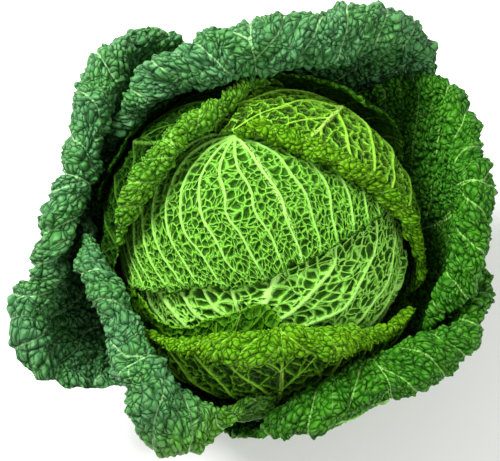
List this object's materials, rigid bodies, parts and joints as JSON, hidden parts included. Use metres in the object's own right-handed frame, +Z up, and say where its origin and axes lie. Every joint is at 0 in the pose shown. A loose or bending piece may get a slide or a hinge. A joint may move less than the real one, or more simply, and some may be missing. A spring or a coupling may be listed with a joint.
{
  "type": "savoy cabbage",
  "caption": "Whole savoy cabbage standing on its cut stalk: a tight ball of overlapping crinkled leaves, wrapped and ringed by open outer leaves whose rims roll outwards.",
  "frame": {"origin": "centre of the stalk's cut face, which rests on the surface", "axes": "+Z up along the stalk; +X to the right and +Y away from the viewer, the open side of the lower outer leaves facing -Y"},
  "size_m": [0.2972, 0.2736, 0.1702],
  "materials": {
    "stalk": "pale green cut stalk, matt",
    "heart": "pale green leaf, satin",
    "head_leaf": "light green leaf with a raised pale net of veins, satin",
    "wrapper_leaf": "yellow-green blistered leaf, satin",
    "outer_leaf": "dark blue-green blistered leaf, waxy satin"
  },
  "bodies": {
    "root": {"stalk": "stalk", "heart": "heart", "head_leaf_lower": "head_leaf", "head_leaf_upper": "head_leaf", "wrapper_leaf_thin": "wrapper_leaf", "wrapper_leaf_right": "wrapper_leaf", "wrapper_leaf_bottom": "wrapper_leaf", "wrapper_leaf_left": "wrapper_leaf", "wrapper_leaf_shaded": "outer_leaf", "outer_leaf_right": "outer_leaf", "outer_leaf_lower_left": "outer_leaf", "outer_leaf_top": "outer_leaf", "outer_leaf_lower_right": "outer_leaf", "outer_leaf_left": "outer_leaf"}
  },
  "joints": []
}
